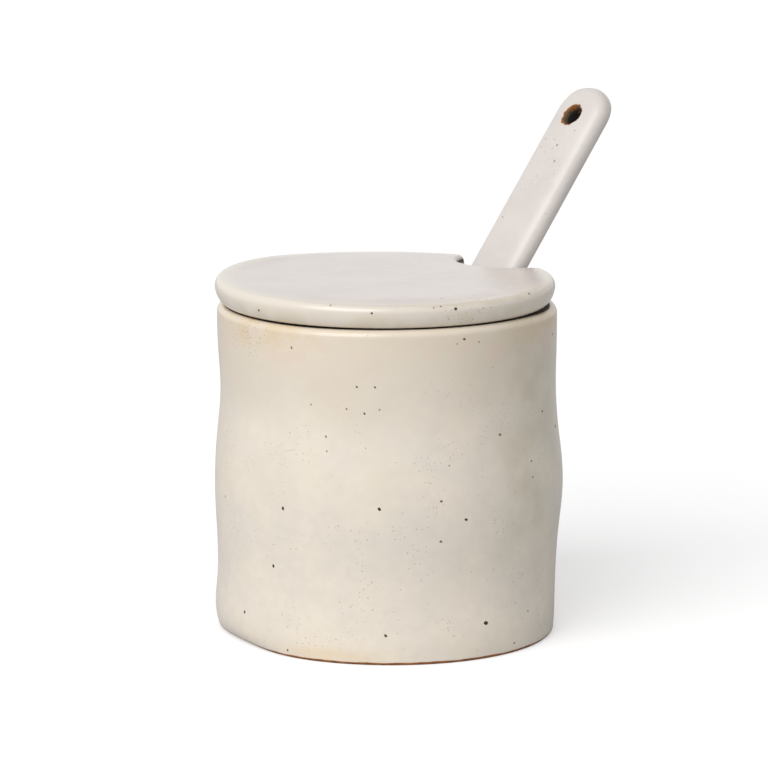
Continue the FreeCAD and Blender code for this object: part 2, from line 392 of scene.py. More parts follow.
potGlaze = {
    **anyGlaze,
    "cool": "#e1d8cc", "warm": "#e6dccd", "cloudSize": 13.0, "seed": 2.0,
    "mottleSize": 2.6, "mottle": 0.04,
    "fleckSpacing": 0.8, "fleckShare": 0.8, "fleckDepth": 0.5, "clusterSize": 9.0,
    "rippleSize": 7.0, "rippleDepth": 0.10, "peelDepth": 0.008,
    "roughness": 0.27, "bareRoughness": 0.8,
    "upperTone": "#dbd0bf",   # thinner and more olive over the upper half
    "shadyTone": "#c1baa7",   # grey-green clouds and painted shade on the side away from the handle, which is turned from the key light
    "breakTone": "#d9bd92",   # where it runs thin off an edge
    "blushTone": "#e0c8ba",   # and pools pink beside it
    "bareTop": 0.72,          # the foot is wiped clean up to here
    "bare": "#a8692f", "bareDark": "#5e3a20",
    "bareRimAndSeamShade": "#231810",     # and so is the rim's flat, where the lid lies; its near-black is painted shade in the seam under the lid
    # patches: size, seed, low, high; sides: azimuth, spread; bands: height, spread;
    # mixes: scale, base
    "shadyMix": (0.37, 0.25), "shoulderMix": (0.55, 0.10), "runMix": (0.8, 0.2),
    "waverSize": 5.0, "waver": 0.5,
    "driftSize": 22.0, "driftReach": 90.0,
    "upperLevels": (82.0, 126.0), "upperShare": 0.85,
    "shadyLevels": (62.0, 92.0), "shadySide": (-72.0, 17.0),
    "shadyPatches": (11.0, 67.0, 0.35, 0.62),
    "shoulderLevels": (73.0, 80.5), "shoulderSides": ((180.0, 15.0), (-62.0, 12.0)),
    "shoulderRuns": (6.0, 23.0, 0.34, 0.60, 3.0),
    "blushBand": (75.5, 2.8), "blushPools": (6.0, 71.0, 0.45, 0.62), "blushShare": 0.4,
    "lowBand": (2.0, 1.3), "lowSide": (-150.0, 13.0), "lowShare": 0.45,
    "bareSoft": (0.33, 0.17), "toastPatches": (2.5, 43.0, 0.3, 0.7, 4.0),
    "rimInside": (40.55, 40.25), "rimLevels": (78.0, 79.0),
}


def potFinish():
    material = newMaterial("creamSatinGlaze")
    tree = material.node_tree
    place, colour = satinGlaze(tree, potGlaze)
    height, away, azimuth = cylinderPlace(tree, place)

    # the upper half is more olive, in clouds
    drift = addNode(tree, "ShaderNodeTexNoise", {
        "Vector": place, "W": 61.0, "Scale": 1.0 / (potGlaze["driftSize"] * mm), "Detail": 3.0,
    }, noise_dimensions="4D")
    level = addNode(tree, "ShaderNodeMath", {
        0: drift, 1: potGlaze["driftReach"], 2: height,
    }, operation="MULTIPLY_ADD")
    low, high = potGlaze["upperLevels"]
    upper = addNode(tree, "ShaderNodeMapRange", {
        "Value": level, "From Min": low, "From Max": high, "To Max": potGlaze["upperShare"],
    }, interpolation_type="SMOOTHSTEP")
    low, high = potGlaze["shadyLevels"]
    above = addNode(tree, "ShaderNodeMapRange", {
        "Value": level, "From Min": low, "From Max": high,
    }, interpolation_type="SMOOTHSTEP")
    # painted shade: the side turned from the key light is darkened, together with its grey-green
    # clouds
    side = bellRound(tree, azimuth, *potGlaze["shadySide"])
    shady = addNode(tree, "ShaderNodeMath", {0: side, 1: above}, operation="MULTIPLY")
    thick = patches(tree, place, *potGlaze["shadyPatches"])
    scale, base = potGlaze["shadyMix"]
    thick = addNode(tree, "ShaderNodeMath", {0: thick, 1: scale, 2: base}, operation="MULTIPLY_ADD")
    shady = addNode(tree, "ShaderNodeMath", {0: shady, 1: thick}, operation="MULTIPLY")

    # the shoulder is warmer where the glaze ran off the rim, most of all at two places
    low, high = potGlaze["shoulderLevels"]
    shoulder = addNode(tree, "ShaderNodeMapRange", {
        "Value": height, "From Min": low, "From Max": high,
    }, interpolation_type="SMOOTHSTEP")
    left, right = [bellRound(tree, azimuth, *side) for side in potGlaze["shoulderSides"]]
    strong = addNode(tree, "ShaderNodeMath", {0: left, 1: right}, operation="ADD")
    scale, base = potGlaze["shoulderMix"]
    strong = addNode(tree, "ShaderNodeMath", {
        0: strong, 1: scale, 2: base,
    }, operation="MULTIPLY_ADD")
    runs = patches(tree, place, *potGlaze["shoulderRuns"])
    scale, base = potGlaze["runMix"]
    runs = addNode(tree, "ShaderNodeMath", {0: runs, 1: scale, 2: base}, operation="MULTIPLY_ADD")
    for share in (strong, runs):
        shoulder = addNode(tree, "ShaderNodeMath", {0: shoulder, 1: share}, operation="MULTIPLY")
    blush = bell(tree, height, *potGlaze["blushBand"])
    for share in (patches(tree, place, *potGlaze["blushPools"]), potGlaze["blushShare"]):
        blush = addNode(tree, "ShaderNodeMath", {0: blush, 1: share}, operation="MULTIPLY")

    # and a little just above the foot, left of the front
    foot = bell(tree, height, *potGlaze["lowBand"])
    for share in (bellRound(tree, azimuth, *potGlaze["lowSide"]), potGlaze["lowShare"]):
        foot = addNode(tree, "ShaderNodeMath", {0: foot, 1: share}, operation="MULTIPLY")

    # bare toasted clay at the foot, with a wavering edge, and on the rim's flat, where the tone is
    # darkened further as painted shade in the seam
    waver = addNode(tree, "ShaderNodeTexNoise", {
        "Vector": place, "W": 41.0, "Scale": 1.0 / (potGlaze["waverSize"] * mm), "Detail": 3.0,
    }, noise_dimensions="4D")
    edge = addNode(tree, "ShaderNodeMath", {
        0: waver, 1: potGlaze["waver"], 2: height,
    }, operation="MULTIPLY_ADD")
    bare = addNode(tree, "ShaderNodeMapRange", {
        "Value": edge, "From Min": potGlaze["bareTop"] + potGlaze["bareSoft"][0],
        "From Max": potGlaze["bareTop"] + potGlaze["bareSoft"][1],
    }, interpolation_type="SMOOTHSTEP")
    toasted = addNode(tree, "ShaderNodeMix", {
        "Factor_Float": patches(tree, place, *potGlaze["toastPatches"]),
        "A_Color": colourOf(potGlaze["bareDark"]), "B_Color": colourOf(potGlaze["bare"]),
    }, data_type="RGBA")
    outer, inner = potGlaze["rimInside"]
    inside = addNode(tree, "ShaderNodeMapRange", {
        "Value": away, "From Min": outer, "From Max": inner,
    })
    low, high = potGlaze["rimLevels"]
    top = addNode(tree, "ShaderNodeMapRange", {"Value": height, "From Min": low, "From Max": high})
    onRim = addNode(tree, "ShaderNodeMath", {0: inside, 1: top}, operation="MULTIPLY")

    colour = layered(tree, colour, (
        (upper, colourOf(potGlaze["upperTone"])), (shady, colourOf(potGlaze["shadyTone"])),
        (shoulder, colourOf(potGlaze["breakTone"])), (blush, colourOf(potGlaze["blushTone"])),
        (foot, colourOf(potGlaze["breakTone"])), (bare, toasted),
        (onRim, colourOf(potGlaze["bareRimAndSeamShade"])),
    ))
    bare = addNode(tree, "ShaderNodeMath", {0: bare, 1: onRim}, operation="MAXIMUM")
    glazeSurface(tree, place, colour, bare, potGlaze)
    return material


lid = {
    "bottom": potHigh.z / mm, "thickness": (lidHigh.z - potHigh.z) / mm,
    "radius": 42.2, "notchRadius": 13.75, "notchDistance": 42.33, "notchAzimuth": 0.8,
    "hornRound": 2.8,
    "upperReach": 1.5, "upperDrop": 2.3, "lowerReach": 2.1, "lowerRise": 3.9,
    "shift": 0.5, "shiftAzimuth": 139.5,
    "ringOutside": 36.5, "ringWidth": 3.4, "ringDepth": 3.0, "ringRound": 0.9, "ringSetback": 2.7,
    "ringSunk": 0.3, "ringSteps": 160,      # the ring reaches this far up into the disc
    "discSteps": 420, "hornSteps": 26, "notchSteps": 70, "edgeSteps": 12,
    "middle": -3.0, "underStep": 0.12, "underRings": 8, "overStep": 0.03, "overRings": 32,
    "warpReach": 34.0, "warpSpan": 7.5,     # the warps grow over this stretch of the radius
}
lidWarps = [
    {"azimuth": -118.0, "spread": 42.0, "lift": -0.75, "tuck": 0.0},
    {"azimuth": 103.0, "spread": 20.0, "lift": 0.55, "tuck": 0.0},
    {"azimuth": 42.0, "spread": 30.0, "lift": -0.25, "tuck": 0.0},
    {"azimuth": 145.0, "spread": 24.0, "lift": 0.15, "tuck": 0.6},
    {"azimuth": -38.0, "spread": 20.0, "lift": 0.0, "tuck": 0.5},
]
lidGlaze = {
    **anyGlaze,
    "cool": "#d0c6c0", "warm": "#d6cbc4", "cloudSize": 14.0, "seed": 5.0,
    "mottleSize": 2.2, "mottle": 0.02,
    "fleckSpacing": 0.8, "fleckShare": 0.45, "fleckDepth": 0.45, "clusterSize": 8.0,
    "rippleSize": 9.0, "rippleDepth": 0.08, "peelDepth": 0.006,
    "roughness": 0.22, "bareRoughness": 0.9,
    "edgeTone": "#ddd4c8", "breakTone": "#c8bca9",
    "sideTone": "#d3c8b4",    # olive and tan runs on the side's lower half
    "notchShadeTone": "#241c16",   # painted shade on the notch's wall, under the horns' lip
    # distances from the axis, or down from the top
    "waverSize": 6.0, "waver": 3.0, "notchMix": (0.6, 0.35), "notchFarSide": (2.0, 9.0),
    "edgeReach": (38.6, 42.6), "sideDrop": (1.6, 4.2), "sideShare": 0.7,
    "sideRuns": (7.0, 31.0, 0.38, 0.62, 3.0),
    "breakDrop": (2.2, 1.2), "breakShare": 0.7, "breakBand": (42.2, 0.7),
    "breakSide": (-100.0, 38.0),
    "notchDrop": (0.5, 1.3), "notchHalo": (1.3, 3.6), "notchSoft": 0.3,
    "notchShadowLine": (1.4, 0.4),  # the level of the painted shadow line, the darkest on the notch's wall
}


def lidFinish():
    # the same glaze, thicker and cooler on the flat top and creamier round the edge
    material = newMaterial("paleSatinGlaze")
    tree = material.node_tree
    place, colour = satinGlaze(tree, lidGlaze)
    height, away, azimuth = cylinderPlace(tree, place)
    top = lidHigh.z / mm
    waver = addNode(tree, "ShaderNodeTexNoise", {
        "Vector": place, "W": 13.0, "Scale": 1.0 / (lidGlaze["waverSize"] * mm), "Detail": 2.0,
    }, noise_dimensions="4D")
    outer = addNode(tree, "ShaderNodeMath", {
        0: waver, 1: lidGlaze["waver"], 2: away,
    }, operation="MULTIPLY_ADD")
    edge = addNode(tree, "ShaderNodeMapRange", {
        "Value": outer, "From Min": lidGlaze["edgeReach"][0], "From Max": lidGlaze["edgeReach"][1],
    }, interpolation_type="SMOOTHSTEP")
    start, end = lidGlaze["sideDrop"]
    below = addNode(tree, "ShaderNodeMapRange", {
        "Value": height, "From Min": top - start, "From Max": top - end,
        "To Max": lidGlaze["sideShare"],
    }, interpolation_type="SMOOTHSTEP")
    runs = patches(tree, place, *lidGlaze["sideRuns"])
    for share in (below, edge):
        runs = addNode(tree, "ShaderNodeMath", {0: runs, 1: share}, operation="MULTIPLY")

    # it breaks darker over the upper edge at the front
    start, end = lidGlaze["breakDrop"]
    nearTop = addNode(tree, "ShaderNodeMapRange", {
        "Value": height, "From Min": top - start, "From Max": top - end,
        "To Max": lidGlaze["breakShare"],
    }, interpolation_type="SMOOTHSTEP")
    over = bell(tree, outer, *lidGlaze["breakBand"])
    for share in (nearTop, bellRound(tree, azimuth, *lidGlaze["breakSide"])):
        over = addNode(tree, "ShaderNodeMath", {0: over, 1: share}, operation="MULTIPLY")

    # painted shade on the notch's wall, darkest in a line under the lip and reaching further up it
    # on the far side; the wall is also rough like bare clay
    apart = addNode(tree, "ShaderNodeSeparateXYZ", {0: place})
    flat = addNode(tree, "ShaderNodeCombineXYZ", {"X": apart.outputs["X"], "Y": apart.outputs["Y"]})
    toNotch = addNode(tree, "ShaderNodeVectorMath", {
        0: flat, 1: polar(lid["notchDistance"], lid["notchAzimuth"]) * mm,
    }, operation="DISTANCE").outputs["Value"]
    toNotch = addNode(tree, "ShaderNodeMath", {0: toNotch, 1: 1.0 / mm}, operation="MULTIPLY")
    farSide = addNode(tree, "ShaderNodeMapRange", {
        "Value": apart.outputs["Y"],
        "From Min": lidGlaze["notchFarSide"][0] * mm, "From Max": lidGlaze["notchFarSide"][1] * mm,
        "To Min": lidGlaze["notchHalo"][0], "To Max": lidGlaze["notchHalo"][1],
    }, interpolation_type="SMOOTHSTEP")
    beside = addNode(tree, "ShaderNodeMath", {0: toNotch, 1: farSide}, operation="SUBTRACT")
    cut = addNode(tree, "ShaderNodeMapRange", {
        "Value": beside, "From Min": lid["notchRadius"] + lidGlaze["notchSoft"],
        "From Max": lid["notchRadius"] - lidGlaze["notchSoft"],
    }, interpolation_type="SMOOTHSTEP")
    start, end = lidGlaze["notchDrop"]
    deep = addNode(tree, "ShaderNodeMapRange", {
        "Value": height, "From Min": top - start, "From Max": top - end,
    }, interpolation_type="SMOOTHSTEP")
    drop, spread = lidGlaze["notchShadowLine"]
    dark = bell(tree, height, top - drop, spread)
    scale, base = lidGlaze["notchMix"]
    dark = addNode(tree, "ShaderNodeMath", {0: dark, 1: scale, 2: base}, operation="MULTIPLY_ADD")
    # the wall mask: painted shade on the notch's wall, and its bare roughness
    wall = cut
    for share in (deep, dark):
        wall = addNode(tree, "ShaderNodeMath", {0: wall, 1: share}, operation="MULTIPLY")
    shares = ((edge, "edgeTone"), (runs, "sideTone"), (over, "breakTone"), (wall, "notchShadeTone"))
    colour = layered(tree, colour, [(share, colourOf(lidGlaze[tone])) for share, tone in shares])
    glazeSurface(tree, place, colour, wall, lidGlaze)
    return material


ironGlaze = {"fresh": "#2b1d13", "faded": "#a39480", "roughness": 0.5}


# Iron spots: grains in the clay that melt through the glaze, almost black where they are fresh
def ironFinish():
    material = newMaterial("meltedIronSpot")
    tree = material.node_tree
    paleness = addNode(tree, "ShaderNodeAttribute", attribute_name="paleness")
    colour = addNode(tree, "ShaderNodeMix", {
        "Factor_Float": paleness.outputs["Fac"],
        "A_Color": colourOf(ironGlaze["fresh"]), "B_Color": colourOf(ironGlaze["faded"]),
    }, data_type="RGBA")
    shader = addNode(tree, "ShaderNodeBsdfPrincipled", {
        "Base Color": colour, "Roughness": ironGlaze["roughness"], "IOR": 1.5,
    })
    addNode(tree, "ShaderNodeOutputMaterial", {"Surface": shader})
    return material


potMaterial = potFinish()
lidMaterial = lidFinish()
ironMaterial = ironFinish()
print("finishes")


# The pot is a profile turned round the axis, swollen, drawn in and pressed by hand

pot = {
    "height": potHigh.z / mm, "radius": 42.2, "wall": 4.6, "floor": 6.0,
    "cornerRound": 7.0, "rimOuterRound": 1.7, "rimInnerRound": 1.3,
    "rimFall": 0.35,          # the rim's flat falls outwards by this much, which opens the seam
    "footRound": 0.7, "recessRadius": 34.4, "recess": 1.4, "recessRound": 1.2,
    "swayAzimuth": -40.5,
    # radii and heights between which an unevenness grows from none to full
    "swellFrom": (4.0, 32.0), "tuckFrom": (35.0, 41.0), "dipFrom": 76.0,
    "rippleFoot": (1.0, 5.0), "rippleLid": (82.0, 78.0),
    "sides": 400,
}
potBands = [
    {"height": 60.5, "spread": 6.5, "swell": -0.50, "sway": 0.26},
    {"height": 38.0, "spread": 9.4, "swell": 1.25, "sway": 0.47},
    {"height": 5.3, "spread": 5.0, "swell": 0.37, "sway": 0.0},
]
potDents = [
    {"waves": 2, "depth": 0.25, "azimuth": 4.5, "height": 45.0, "spread": 14.0},
    {"waves": 3, "depth": 0.20, "azimuth": -70.5, "height": 24.0, "spread": 12.0},
    {"waves": 3, "depth": 0.56, "azimuth": -95.0, "height": 5.3, "spread": 5.5},
]
potTucks = [
    {"depth": 3.3, "azimuth": 166.0, "spread": 16.0},
    {"depth": 0.5, "azimuth": -30.0, "spread": 22.0},
]
potDips = [               # where the rim sinks and the seam under the lid opens
    {"depth": 0.66, "azimuth": -46.0, "spread": 13.0},
    {"depth": 0.22, "azimuth": -164.0, "spread": 20.0},
]
potExtras = {"Tuck height": 2.6, "Ripple depth": 0.10, "Ripple size": 15.0}


def potProfile():
    # half a section, from the middle of the floor over the rim to the middle of the foot
    inner = pot["radius"] - pot["wall"]
    corner = pot["cornerRound"]
    rimIn = pot["rimInnerRound"]
    rimOut = pot["rimOuterRound"]
    foot = pot["footRound"]
    hollow = pot["recessRound"]
    ceiling = pot["recess"]
    floorEnd = (inner - corner, pot["floor"])
    wallTop = (inner, pot["height"] - rimIn)
    shoulder = pot["height"] - pot["rimFall"] - rimOut
    return linked(
        linePoints((0.0, pot["floor"]), floorEnd, 12),
        arcPoints(inner - corner, pot["floor"] + corner, corner, -90, 0, 9),
        linePoints((inner, pot["floor"] + corner), wallTop, 26),
        arcPoints(inner + rimIn, pot["height"] - rimIn, rimIn, 180, 90, 7),
        linePoints((inner + rimIn, pot["height"]), (pot["radius"] - rimOut, shoulder + rimOut), 4),
        arcPoints(pot["radius"] - rimOut, shoulder, rimOut, 90, 0, 9),
        linePoints((pot["radius"], shoulder), (pot["radius"], foot), 120),
        arcPoints(pot["radius"] - foot, foot, foot, 0, -90, 6),
        linePoints((pot["radius"] - foot, 0.0), (pot["recessRadius"], 0.0), 6),
        linePoints((pot["recessRadius"], 0.0), (pot["recessRadius"], ceiling - hollow), 1),
        arcPoints(pot["recessRadius"] - hollow, ceiling - hollow, hollow, 0, 90, 5),
        linePoints((pot["recessRadius"] - hollow, ceiling), (0.0, ceiling), 8),
    )


def waveRound(tree, azimuth, centre, waves):
    # a wave round the pot, at its crest at this azimuth
    turn = addNode(tree, "ShaderNodeMath", {0: azimuth, 1: centre}, operation="SUBTRACT")
    turn = addNode(tree, "ShaderNodeMath", {0: turn, 1: waves}, operation="MULTIPLY")
    turn = addNode(tree, "ShaderNodeMath", {0: turn}, operation="RADIANS")
    return addNode(tree, "ShaderNodeMath", {0: turn}, operation="COSINE")


def handThrownWall(values, material):
    # the tree that turns the profile; every height, depth and azimuth is an input by name
    floats = [(name, "Float") for name in values if name != "Sides"]
    tree, given = newTree("handThrownWall", [("Sides", "Int"), *floats])

    # a sheet of points: one way up the profile, the other way round the pot
    size = addNode(tree, "GeometryNodeAttributeDomainSize", {
        "Geometry": given["Geometry"],
    }, component="MESH")
    count = size.outputs["Point Count"]
    around = addNode(tree, "ShaderNodeMath", {0: given["Sides"], 1: 1.0}, operation="ADD")
    sheet = addNode(tree, "GeometryNodeMeshGrid", {"Vertices X": around, "Vertices Y": count})
    index = addNode(tree, "GeometryNodeInputIndex")
    step = addNode(tree, "ShaderNodeMath", {0: index, 1: count}, operation="MODULO")
    column = addNode(tree, "ShaderNodeMath", {0: index, 1: count}, operation="DIVIDE")
    column = addNode(tree, "ShaderNodeMath", {0: column}, operation="FLOOR")
    share = addNode(tree, "ShaderNodeMath", {0: column, 1: given["Sides"]}, operation="DIVIDE")
    azimuth = addNode(tree, "ShaderNodeMath", {0: share, 1: 360.0}, operation="MULTIPLY")
    spot = addNode(tree, "GeometryNodeSampleIndex", {
        "Geometry": given["Geometry"], "Index": step,
        "Value": addNode(tree, "GeometryNodeInputPosition"),
    }, data_type="FLOAT_VECTOR", domain="POINT")
    apart = addNode(tree, "ShaderNodeSeparateXYZ", {0: spot})
    radius = apart.outputs["X"]
    height = apart.outputs["Z"]

    swell = 0.0
    for number in range(len(potBands)):
        key = f"Band {number + 1} "
        turn = waveRound(tree, azimuth, given["Sway azimuth"], 1.0)
        push = addNode(tree, "ShaderNodeMath", {
            0: turn, 1: given[key + "sway"], 2: given[key + "swell"],
        }, operation="MULTIPLY_ADD")
        band = bell(tree, height, given[key + "height"], given[key + "spread"])
        swell = addNode(tree, "ShaderNodeMath", {
            0: push, 1: band, 2: swell,
        }, operation="MULTIPLY_ADD")
    for number in range(len(potDents)):
        key = f"Dent {number + 1} "
        turn = waveRound(tree, azimuth, given[key + "azimuth"], given[key + "waves"])
        push = addNode(tree, "ShaderNodeMath", {
            0: turn, 1: given[key + "depth"],
        }, operation="MULTIPLY")
        band = bell(tree, height, given[key + "height"], given[key + "spread"])
        swell = addNode(tree, "ShaderNodeMath", {
            0: push, 1: band, 2: swell,
        }, operation="MULTIPLY_ADD")
    # the middles of the floor and the foot stay put
    spread = addNode(tree, "ShaderNodeMapRange", {
        "Value": radius, "From Min": pot["swellFrom"][0], "From Max": pot["swellFrom"][1],
    }, interpolation_type="SMOOTHSTEP")
    swell = addNode(tree, "ShaderNodeMath", {0: swell, 1: spread}, operation="MULTIPLY")

    fade = addNode(tree, "ShaderNodeMath", {0: height, 1: given["Tuck height"]}, operation="DIVIDE")
    fade = addNode(tree, "ShaderNodeMath", {0: fade, 1: -1.0}, operation="MULTIPLY")
    fade = addNode(tree, "ShaderNodeMath", {0: fade}, operation="EXPONENT")
    outside = addNode(tree, "ShaderNodeMapRange", {
        "Value": radius, "From Min": pot["tuckFrom"][0], "From Max": pot["tuckFrom"][1],
    })
    fade = addNode(tree, "ShaderNodeMath", {0: fade, 1: outside}, operation="MULTIPLY")
    for number in range(len(potTucks)):
        key = f"Tuck {number + 1} "
        press = bellRound(tree, azimuth, given[key + "azimuth"], given[key + "spread"])
        for share in (given[key + "depth"], fade):
            press = addNode(tree, "ShaderNodeMath", {0: press, 1: share}, operation="MULTIPLY")
        swell = addNode(tree, "ShaderNodeMath", {0: swell, 1: press}, operation="SUBTRACT")
    reach = addNode(tree, "ShaderNodeMath", {0: radius, 1: swell}, operation="ADD")

    # the rim sinks in places
    dip = 0.0
    for number in range(len(potDips)):
        key = f"Dip {number + 1} "
        sink = bellRound(tree, azimuth, given[key + "azimuth"], given[key + "spread"])
        dip = addNode(tree, "ShaderNodeMath", {
            0: sink, 1: given[key + "depth"], 2: dip,
        }, operation="MULTIPLY_ADD")
    nearRim = addNode(tree, "ShaderNodeMapRange", {
        "Value": height, "From Min": pot["dipFrom"], "From Max": given["Height"],
    }, interpolation_type="SMOOTHSTEP")
    dip = addNode(tree, "ShaderNodeMath", {0: dip, 1: nearRim}, operation="MULTIPLY")
    level = addNode(tree, "ShaderNodeMath", {0: height, 1: dip}, operation="SUBTRACT")

    angle = addNode(tree, "ShaderNodeMath", {0: azimuth}, operation="RADIANS")
    east = addNode(tree, "ShaderNodeMath", {0: angle}, operation="COSINE")
    north = addNode(tree, "ShaderNodeMath", {0: angle}, operation="SINE")
    place = addNode(tree, "ShaderNodeCombineXYZ", {
        "X": addNode(tree, "ShaderNodeMath", {0: reach, 1: east}, operation="MULTIPLY"),
        "Y": addNode(tree, "ShaderNodeMath", {0: reach, 1: north}, operation="MULTIPLY"),
        "Z": level,
    })
    place = addNode(tree, "ShaderNodeVectorMath", {0: place, "Scale": mm}, operation="SCALE")
    turned = addNode(tree, "GeometryNodeSetPosition", {
        "Geometry": sheet.outputs["Mesh"], "Position": place,
    })
    closed = addNode(tree, "GeometryNodeMergeByDistance", {"Geometry": turned, "Distance": 1e-6})

    # slow unevenness of the wall, none where it stands or where the lid lies
    here = addNode(tree, "GeometryNodeInputPosition")
    lift = addNode(tree, "ShaderNodeSeparateXYZ", {0: here}).outputs["Z"]
    lift = addNode(tree, "ShaderNodeMath", {0: lift, 1: 1.0 / mm}, operation="MULTIPLY")
    low = addNode(tree, "ShaderNodeMapRange", {
        "Value": lift, "From Min": pot["rippleFoot"][0], "From Max": pot["rippleFoot"][1],
    }, interpolation_type="SMOOTHSTEP")
    high = addNode(tree, "ShaderNodeMapRange", {
        "Value": lift, "From Min": pot["rippleLid"][0], "From Max": pot["rippleLid"][1],
    }, interpolation_type="SMOOTHSTEP")
    steady = addNode(tree, "ShaderNodeMath", {0: low, 1: high}, operation="MULTIPLY")
    scale = addNode(tree, "ShaderNodeMath", {
        0: 1.0 / mm, 1: given["Ripple size"],
    }, operation="DIVIDE")
    ripple = addNode(tree, "ShaderNodeTexNoise", {"Vector": here, "Scale": scale, "Detail": 1.5})
    ripple = addNode(tree, "ShaderNodeMath", {0: ripple, 1: 0.5}, operation="SUBTRACT")
    for share in (steady, given["Ripple depth"]):
        ripple = addNode(tree, "ShaderNodeMath", {0: ripple, 1: share}, operation="MULTIPLY")
    offset = addNode(tree, "ShaderNodeVectorMath", {
        0: addNode(tree, "GeometryNodeInputNormal"), "Scale": ripple,
    }, operation="SCALE")
    offset = addNode(tree, "ShaderNodeVectorMath", {
        0: offset, "Scale": 2.0 * mm,
    }, operation="SCALE")
    uneven = addNode(tree, "GeometryNodeSetPosition", {"Geometry": closed, "Offset": offset})
    smooth = addNode(tree, "GeometryNodeSetShadeSmooth", {"Geometry": uneven})
    real = addNode(tree, "GeometryNodeRealizeInstances", {"Geometry": smooth})
    dressed = addNode(tree, "GeometryNodeSetMaterial", {"Geometry": real, "Material": material})
    addNode(tree, "NodeGroupOutput", {"Geometry": dressed})
    return tree


def makePot():
    values = {"Sides": pot["sides"], "Height": pot["height"], "Sway azimuth": pot["swayAzimuth"]}
    named = {"Band": potBands, "Dent": potDents, "Tuck": potTucks, "Dip": potDips}
    for title, entries in named.items():
        for number, entry in enumerate(entries):
            for name, value in entry.items():
                values[f"{title} {number + 1} {name}"] = float(value)
    values.update(potExtras)
    points = potProfile()
    mesh = bpy.data.meshes.new("potProfile")
    edges = [(index, index + 1) for index in range(len(points) - 1)]
    mesh.from_pydata([(x, 0.0, z) for x, z in points], edges, [])
    piece = newObject("potBody", mesh)
    bakeModifier(piece, handThrownWall(values, potMaterial), values)
    return piece


potBody = makePot()
print("pot", len(potBody.data.polygons), "faces")


# The lid is its edge's outline, stacked through the rounding and closed over both faces

def arcBetween(centre, start, end, turns, count):
    # points from start round a centre; turns says how far, in radians
    points = []
    for index in range(count):
        spun = Matrix.Rotation(turns * index / count, 3, "Z") @ (start - centre)
        points.append(centre + spun)
    return points


def lidOutline(notch, inset):
    # the disc's arc, a horn, the notch's arc and the other horn
    out = notch.normalized()
    side = Vector((-out.y, out.x, 0.0))
    discRadius = lid["radius"] - inset
    biteRadius = lid["notchRadius"] + inset
    hornRadius = lid["hornRound"] - inset
    toDisc = discRadius - hornRadius
    toBite = biteRadius + hornRadius
    along = (toDisc ** 2 + notch.length ** 2 - toBite ** 2) / (2.0 * notch.length)
    across = math.sqrt(toDisc ** 2 - along ** 2)
    corners = []
    for sign in (1.0, -1.0):
        centre = out * along + side * (sign * across)
        onDisc = centre * (discRadius / toDisc)
        onBite = notch + (centre - notch) * (biteRadius / toBite)
        corners.append((centre, onDisc, onBite))
    high, low = corners
    half = math.atan2(across, along)
    discTurn = 2.0 * math.pi - 2.0 * half
    points = arcBetween(Vector((0, 0, 0)), high[1], low[1], discTurn, lid["discSteps"])
    hornTurn = (low[1] - low[0]).angle(low[2] - low[0])
    points += arcBetween(low[0], low[1], low[2], hornTurn, lid["hornSteps"])
    biteTurn = (low[2] - notch).angle(high[2] - notch)
    points += arcBetween(notch, low[2], high[2], -biteTurn, lid["notchSteps"])
    points += arcBetween(high[0], high[2], high[1], hornTurn, lid["hornSteps"])
    return points


def stackLoops(bm, loops, bottomMiddle, topMiddle):
    rows = [[bm.verts.new(point) for point in loop] for loop in loops]
    count = len(rows[0])
    for lower, upper in zip(rows, rows[1:]):
        for index in range(count):
            after = (index + 1) % count
            bm.faces.new((lower[index], lower[after], upper[after], upper[index]))
    first = bm.verts.new(bottomMiddle)
    last = bm.verts.new(topMiddle)
    for index in range(count):
        after = (index + 1) % count
        bm.faces.new((first, rows[0][after], rows[0][index]))
        bm.faces.new((last, rows[-1][index], rows[-1][after]))


def lidRing(bm, notch, centre):
    # the locating ring: one rounded section led from one side of the notch to the other
    outer = lid["ringOutside"]
    inner = outer - lid["ringWidth"]
    deep = lid["ringDepth"]
    corner = lid["ringRound"]
    section = linked(
        linePoints((inner, lid["ringSunk"]), (inner, corner - deep), 3),
        arcPoints(inner + corner, corner - deep, corner, 180, 270, 6),
        linePoints((inner + corner, -deep), (outer - corner, -deep), 2),
        arcPoints(outer - corner, corner - deep, corner, -90, 0, 6),
        linePoints((outer, corner - deep), (outer, lid["ringSunk"]), 3),
    )
    opening = lid["notchRadius"] + lid["ringSetback"]
    steps = lid["ringSteps"]
    rows = []
    for step in range(steps + 1):
        row = []
        for radius, height in section:
            cosine = radius ** 2 + notch.length ** 2 - opening ** 2
            cosine /= 2.0 * radius * notch.length
            start = math.degrees(math.acos(cosine))
            azimuth = start + (360.0 - 2.0 * start) * step / steps + lid["notchAzimuth"]
            row.append(bm.verts.new(centre + polar(radius, azimuth, lid["bottom"] + height)))
        rows.append(row)
    count = len(section)
    for before, after in zip(rows, rows[1:]):
        for index in range(count):
            beside = (index + 1) % count
            bm.faces.new((before[index], before[beside], after[beside], after[index]))
    bm.faces.new(rows[0][::-1])
    bm.faces.new(rows[-1])


def lidWarped(point):
    # the slab is not quite even: its upper edge sinks at the front and its lower edge draws in
    azimuth = math.degrees(math.atan2(point.y, point.x))
    reach = Vector((point.x, point.y)).length
    edge = smoothStep((reach - lid["warpReach"]) / lid["warpSpan"])
    above = max(0.0, point.z - lid["lowerRise"]) / lid["upperDrop"]
    below = max(0.0, 1.0 - point.z / lid["lowerRise"])
    lift = 0.0
    tuck = 0.0
    for warp in lidWarps:
        turn = (azimuth - warp["azimuth"] + 180.0) % 360.0 - 180.0
        share = edge * math.exp(-0.5 * (turn / warp["spread"]) ** 2)
        lift += warp["lift"] * share * above
        tuck += warp["tuck"] * share * below
    inward = 1.0 - tuck / max(reach, 1.0)
    return Vector((point.x * inward, point.y * inward, point.z + lid["bottom"] + lift))


